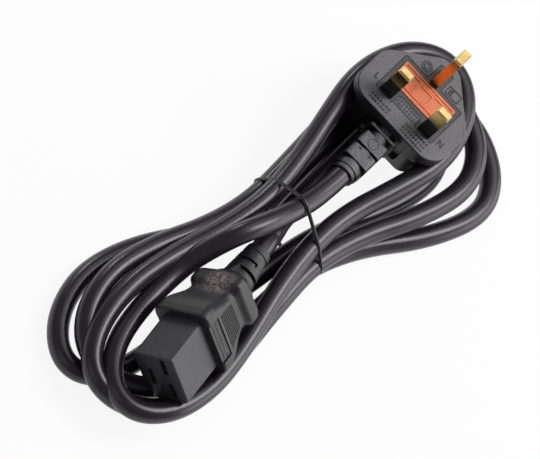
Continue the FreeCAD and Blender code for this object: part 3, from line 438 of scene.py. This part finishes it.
# Plain plastics: their darker and lighter tone, roughness, grain and how deep the grain is
PLASTICS = {
    "insert": (colour(0.030, 0.029, 0.032), colour(0.055, 0.053, 0.057), 0.32, 1500.0, 0.15),
    "carrier": (colour(0.70, 0.155, 0.050), colour(0.88, 0.250, 0.100), 0.36, 900.0, 0.10),
    "mark": (colour(0.010, 0.010, 0.011), colour(0.022, 0.021, 0.023), 0.30, 1500.0, 0.10),
    "sleeve": (colour(0.008, 0.008, 0.008), colour(0.014, 0.014, 0.014), 0.22, 900.0, 0.05),
    "nose": (colour(0.030, 0.028, 0.032), colour(0.060, 0.056, 0.063), 0.38, 1500.0, 0.30),
    "tie": (colour(0.008, 0.008, 0.009), colour(0.020, 0.020, 0.021), 0.28, 700.0, 0.10),
    "ceramic": (colour(0.72, 0.70, 0.64), colour(0.82, 0.80, 0.75), 0.35, 300.0, 0.05),
    "core_line": (colour(0.12, 0.045, 0.02), colour(0.16, 0.06, 0.03), 0.35, 500.0, 0.05),
    "core_neutral": (colour(0.02, 0.06, 0.28), colour(0.03, 0.09, 0.36), 0.35, 500.0, 0.05),
    "core_earth": (colour(0.09, 0.26, 0.03), colour(0.12, 0.34, 0.05), 0.35, 500.0, 0.05),
}
MATERIALS = {
    name: plain_plastic(name + " plastic", *values)
    for name, values in PLASTICS.items()
}
MATERIALS["body"] = body_plastic()
MATERIALS["cord"] = cord_sheath()
MATERIALS["connector"] = connector_plastic()
MATERIALS["pin"] = brass("pin brass", colour(0.82, 0.62, 0.30), 0.16)
MATERIALS["contact"] = brass("contact brass", colour(0.76, 0.56, 0.28), 0.3)
MATERIALS["cap"] = brass("cap plating", colour(0.75, 0.74, 0.72), 0.25)

NODE_FINISHES = {
    "plug_overmould": "body",
    "plug_insert": "insert",
    "earth_pin": "pin",
    "line_pin": "pin",
    "neutral_pin": "pin",
    "line_sleeve": "sleeve",
    "neutral_sleeve": "sleeve",
    "fuse_carrier": "carrier",
    "fuse_tube": "ceramic",
    "fuse_cap_line": "cap",
    "fuse_cap_supply": "cap",
    "fuse_clip_line": "contact",
    "fuse_clip_supply": "contact",
    "neutral_terminal": "contact",
    "earth_terminal": "contact",
    "plug_core_line": "core_line",
    "plug_core_neutral": "core_neutral",
    "plug_core_earth": "core_earth",
    "connector_overmould": "connector",
    "connector_insert": "nose",
    "contact_line": "contact",
    "contact_neutral": "contact",
    "contact_earth": "contact",
    "connector_core_line": "core_line",
    "connector_core_neutral": "core_neutral",
    "connector_core_earth": "core_earth",
}


def dress_nodes():
    for name, finish in NODE_FINISHES.items():
        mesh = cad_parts[name].data
        mesh.materials.clear()
        mesh.materials.append(MATERIALS[finish])


def tie_outline():
    """Where the tie's middle runs: drawn tight round every run of cord at the waist."""
    runs = list(LOWER_WAIST.values()) + list(UPPER_WAIST.values()) + [TAIL_AT_TIE, LEAD_AT_TIE]
    rim = [
        Vector(place) for x, height in runs
        for place in circle(x, height, CORD_DIAMETER / 2 + TIE_THICKNESS / 2)
    ]
    hull = [rim[i] for i in convex_hull_2d(rim)]
    return [
        Vector((place.x, TIE_Y - TIE_SLANT * place.x, FLOOR_Z + max(place.y, TIE_PROUD)))
        for place in hull
    ]


def make_tie():
    """Flat strip with a wire's ridge along its middle, drawn round the waist."""
    path = tie_outline()
    middle = sum(path, Vector()) / len(path)
    along_cords = Vector((TIE_SLANT, 1.0, 0.0)).normalized()
    bm = bmesh.new()
    rings = []
    for i, place in enumerate(path):
        tangent = (path[(i + 1) % len(path)] - path[i - 1]).normalized()
        outward = tangent.cross(along_cords).normalized()
        if outward.dot(place - middle) < 0:
            outward = -outward
        ring = []
        for across, proud in TIE_SECTION:
            spot = place + along_cords * across + outward * (proud - TIE_THICKNESS / 2)
            ring.append(bm.verts.new(spot * MM))
        rings.append(ring)
    for first, second in zip(rings, rings[1:] + rings[:1]):
        for i in range(len(first)):
            j = (i + 1) % len(first)
            bm.faces.new((first[i], first[j], second[j], second[i]))
    bmesh.ops.recalc_face_normals(bm, faces=bm.faces)
    tie = new_mesh_object("twist_tie", bm, MATERIALS["tie"])
    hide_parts("cord_tie")
    return tie


def make_cord():
    """One smooth line of even section, from the plug through the turns to the connector."""
    points = LEAD + hank_points() + TAIL
    curve = bpy.data.curves.new("mains_cord", "CURVE")
    curve.dimensions = "3D"
    spline = curve.splines.new("NURBS")
    spline.points.add(len(points) - 1)
    for point, place in zip(spline.points, points):
        point.co = (place[0] * MM, place[1] * MM, place[2] * MM, 1.0)
    spline.order_u = 3
    spline.use_endpoint_u = True
    spline.resolution_u = CORD_STEPS_PER_POINT
    curve.bevel_depth = CORD_DIAMETER / 2 * MM
    curve.bevel_resolution = CORD_ROUNDNESS
    curve.use_fill_caps = True
    cord = bpy.data.objects.new("mains_cord", curve)
    bpy.context.scene.collection.objects.link(cord)
    curve.materials.append(MATERIALS["cord"])
    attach(cord, "plug")
    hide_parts("plug_lead", "hank", "connector_lead")
    on_cord = ["connector_overmould", "connector_insert", make_tie(), make_label()]
    return cord


def pads_tree():
    """Rows of small raised pads of uneven length, in place of small print."""
    group = bpy.data.node_groups.new("raised pads", "GeometryNodeTree")
    group.interface.new_socket("Pads", in_out="OUTPUT", socket_type="NodeSocketGeometry")
    for name, kind in PAD_INPUTS.items():
        group.interface.new_socket(name, in_out="INPUT", socket_type="NodeSocket" + kind)
    pads = Tree(group)
    given = group.nodes.new("NodeGroupInput").outputs

    def value(name):
        return Sock(group, given[name])

    grid = pads.node("GeometryNodeMeshGrid", None, {
        "Size X": value("Length"), "Size Y": value("Height"),
        "Vertices X": value("Columns"), "Vertices Y": value("Rows"),
    })
    block = pads.node("GeometryNodeMeshCube", None, {"Size": value("Pad")})
    stretch = pads.node("FunctionNodeRandomValue", {"data_type": "FLOAT_VECTOR"}, {
        0: PAD_LEAST, 1: PAD_MOST, "Seed": value("Seed"),
    })
    spread = pads.node("GeometryNodeInstanceOnPoints", None, {
        "Points": grid, "Instance": block, "Scale": stretch,
    })
    placed = pads.node("GeometryNodeTransform", None, {
        "Geometry": spread, "Translation": value("Place"),
    })
    real = pads.node("GeometryNodeRealizeInstances", None, {"Geometry": placed})
    dressed = pads.node("GeometryNodeSetMaterial", None, {
        "Geometry": real, "Material": value("Material"),
    })
    group.links.new(dressed.socket, group.nodes.new("NodeGroupOutput").inputs[0])
    return group


def pads_mesh(group, columns, rows, length, height, place, seed):
    """One block of pads as a mesh: its columns and rows, size, middle and seed."""
    carrier = bpy.data.objects.new("pads", bpy.data.meshes.new("pads"))
    bpy.context.scene.collection.objects.link(carrier)
    modifier = carrier.modifiers.new("pads", "NODES")
    modifier.node_group = group
    pitch = length / max(columns - 1, 1)
    values = {
        "Columns": columns,
        "Rows": rows,
        "Length": length * MM,
        "Height": height * MM,
        "Pad": (pitch * PAD_SHARE * MM, PAD_HEIGHT * MM, 2 * MARK_RISE * MM),
        "Place": [value * MM for value in place],
        "Seed": seed,
        "Material": MATERIALS["mark"],
    }
    for item in group.interface.items_tree:
        if item.in_out == "INPUT":
            modifier[item.identifier] = values[item.name]
    mesh = bpy.data.meshes.new_from_object(evaluated(carrier))
    bpy.data.objects.remove(carrier)
    return mesh


def evaluated(piece):
    return piece.evaluated_get(bpy.context.evaluated_depsgraph_get())


def letter_mesh(letter, place, size):
    """A raised capital that names a terminal."""
    curve = bpy.data.curves.new(letter, "FONT")
    curve.body = letter
    curve.size = size * MM
    curve.extrude = MARK_RISE * MM
    curve.offset = LETTER_BOLDNESS * MM
    curve.align_x = "CENTER"
    curve.align_y = "CENTER"
    text = bpy.data.objects.new(letter, curve)
    bpy.context.scene.collection.objects.link(text)
    mesh = bpy.data.meshes.new_from_object(evaluated(text))
    bpy.data.objects.remove(text)
    mesh.transform(Matrix.Translation([value * MM for value in place]))
    return mesh


def rectangle(x, y, half_x, half_y):
    corners = ((-1, -1), (1, -1), (1, 1), (-1, 1))
    return [(x + half_x * right, y + half_y * up) for right, up in corners]


def circle(x, y, radius):
    turns = [2 * pi * i / CIRCLE_SIDES for i in range(CIRCLE_SIDES)]
    return [(x + radius * cos(turn), y + radius * sin(turn)) for turn in turns]


def add_ridge(bm, outer, inner):
    """Low ridge on the face, between two closed outlines."""
    rings = []
    corners = ((outer, -MARK_RISE), (outer, MARK_RISE), (inner, MARK_RISE), (inner, -MARK_RISE))
    for outline, z in corners:
        rings.append([bm.verts.new((x * MM, y * MM, z * MM)) for x, y in outline])
    for first, second in zip(rings, rings[1:] + rings[:1]):
        for i in range(len(outer)):
            j = (i + 1) % len(outer)
            bm.faces.new((first[i], first[j], second[j], second[i]))


def clean(bm):
    """Join vertices that lie in one place, and turn every face outwards."""
    bmesh.ops.remove_doubles(bm, verts=bm.verts, dist=SAME_PLACE)
    bmesh.ops.recalc_face_normals(bm, faces=bm.faces)


def make_marks():
    """Terminal letters, plain frames and rows of pads, raised on the face."""
    bm = bmesh.new()
    for letter, x, y in LETTERS:
        bm.from_mesh(letter_mesh(letter, (x, y, 0.0), LETTER_SIZE))
    for x, y, half_x, half_y in FRAMES:
        inner = rectangle(x, y, half_x - RIDGE_WIDTH, half_y - RIDGE_WIDTH)
        add_ridge(bm, rectangle(x, y, half_x, half_y), inner)
    for x, y, radius in RINGS:
        add_ridge(bm, circle(x, y, radius), circle(x, y, radius - RIDGE_WIDTH))
    group = pads_tree()
    for seed, (columns, rows, length, height, x, y) in enumerate(PADS):
        bm.from_mesh(pads_mesh(group, columns, rows, length, height, (x, y, 0.0), seed))
    clean(bm)
    marks = new_mesh_object("face_marks", bm, MATERIALS["mark"])


def connector_place():
    """Turn and move from the connector's own frame to where it lies, as in the solid model."""
    along = Vector(CONNECTOR_ALONG).normalized()
    level = along.cross(Vector((0.0, 0.0, 1.0))).normalized()
    lift = level.cross(along)
    across = level * cos(CONNECTOR_ROLL) - lift * sin(CONNECTOR_ROLL)
    up = across.cross(along)
    turn = Matrix((across, along, up)).transposed().to_4x4()
    return Matrix.Translation(Vector(CONNECTOR_FACE) * MM) @ turn


def make_label():
    """Rows of pads and a small ring on the label strip across the connector's collar."""
    x, y, z = LABEL_MIDDLE
    bm = bmesh.new()
    outer = circle(x + LABEL_RING_X, y, LABEL_RING_RADIUS)
    inner = circle(x + LABEL_RING_X, y, LABEL_RING_RADIUS - LABEL_RING_WIDTH)
    add_ridge(bm, outer, inner)
    bmesh.ops.translate(bm, verts=bm.verts, vec=(0, 0, z * MM))
    bm.from_mesh(pads_mesh(
        pads_tree(), LABEL_COLUMNS, LABEL_ROWS, LABEL_LENGTH, LABEL_HEIGHT, (x, y, z), LABEL_SEED))
    bmesh.ops.transform(bm, matrix=connector_place(), verts=bm.verts)
    clean(bm)
    label = new_mesh_object("connector_label", bm, MATERIALS["mark"])
    return label


def make_camera():
    """A long lens, so that the view is nearly parallel, as in the photograph."""
    right = VIEW_RIGHT.normalized()
    forward = right.cross(-VIEW_DOWN).normalized() * -1
    down = forward.cross(right)
    data = bpy.data.cameras.new("camera")
    data.sensor_width = SENSOR
    data.clip_end = CAMERA_REACH
    data.lens = SENSOR * CAMERA_DISTANCE / (PHOTO_WIDTH / PIXELS_PER_MM * MM)
    camera = bpy.data.objects.new("camera", data)
    bpy.context.scene.collection.objects.link(camera)
    centre_x = (PHOTO_WIDTH / 2 - ORIGIN_PIXEL[0]) / PIXELS_PER_MM * MM
    centre_y = (PHOTO_HEIGHT / 2 - ORIGIN_PIXEL[1]) / PIXELS_PER_MM * MM
    target = right * centre_x + down * centre_y + forward * FOCUS_DEPTH
    place = target - forward * CAMERA_DISTANCE
    turn = Matrix((right, -down, -forward)).transposed().to_4x4()
    camera.matrix_world = Matrix.Translation(place) @ turn
    bpy.context.scene.camera = camera


def seen_share(tree, kinds, share=1.0):
    """The share for rays of the given kinds, nothing for the others."""
    path = tree.node("ShaderNodeLightPath")
    total = None
    for kind in kinds:
        ray = Sock(tree.tree, path.socket.node.outputs[kind])
        total = ray if total is None else total.math("MAXIMUM", ray)
    return total * share


def make_floor():
    """White surface: almost plain white to the eye, with a soft trace of the shadow."""
    bm = bmesh.new()
    bmesh.ops.create_grid(bm, x_segments=1, y_segments=1, size=FLOOR_SIZE)
    bmesh.ops.translate(bm, verts=bm.verts, vec=(0, 0, FLOOR_Z * MM))
    finish = Finish("white surface")
    material = finish.set(colour=colour(0.95, 0.95, 0.95), roughness=0.9, specular=0.1)
    white = finish.node("ShaderNodeEmission", None, {"Color": WHITE, "Strength": 1.0})
    kinds = ("Is Camera Ray", "Is Glossy Ray", "Is Transmission Ray")
    share = seen_share(finish, kinds, FLOOR_WHITE)
    plain = Sock(finish.tree, finish.shader.outputs[0])
    both = finish.node("ShaderNodeMixShader", None, {0: share, 1: plain, 2: white})
    finish.tree.links.new(both.socket, finish.tree.nodes["Material Output"].inputs["Surface"])
    new_mesh_object("floor", bm, material, body=None)


def make_world():
    """Dim even room light, white to the eye."""
    world = bpy.data.worlds.new("studio")
    bpy.context.scene.world = world
    world.use_nodes = True
    room = Tree(world.node_tree)
    dim = room.node("ShaderNodeBackground", None, {"Color": WHITE, "Strength": ROOM_LIGHT})
    bright = room.node("ShaderNodeBackground", None, {"Color": WHITE, "Strength": 1.0})
    share = seen_share(room, ("Is Camera Ray", "Is Transmission Ray"))
    both = room.node("ShaderNodeMixShader", None, {0: share, 1: dim, 2: bright})
    room.tree.links.new(both.socket, world.node_tree.nodes["World Output"].inputs["Surface"])


def make_lights():
    """Soft boxes, each facing the middle of the hank."""
    centre = Vector(LIGHTS_FACE)
    for name, way, distance, size, power in LIGHTS:
        data = bpy.data.lights.new(name, "AREA")
        data.shape = "DISK"
        data.size = size
        data.energy = power
        light = bpy.data.objects.new(name, data)
        bpy.context.scene.collection.objects.link(light)
        towards = Vector(way).normalized()
        light.location = centre + towards * distance
        light.rotation_euler = towards.to_track_quat("Z", "Y").to_euler()


dress_nodes()
make_cord()
make_camera()
make_marks()
make_floor()
make_world()
make_lights()
bpy.context.scene.view_settings.view_transform = "Standard"
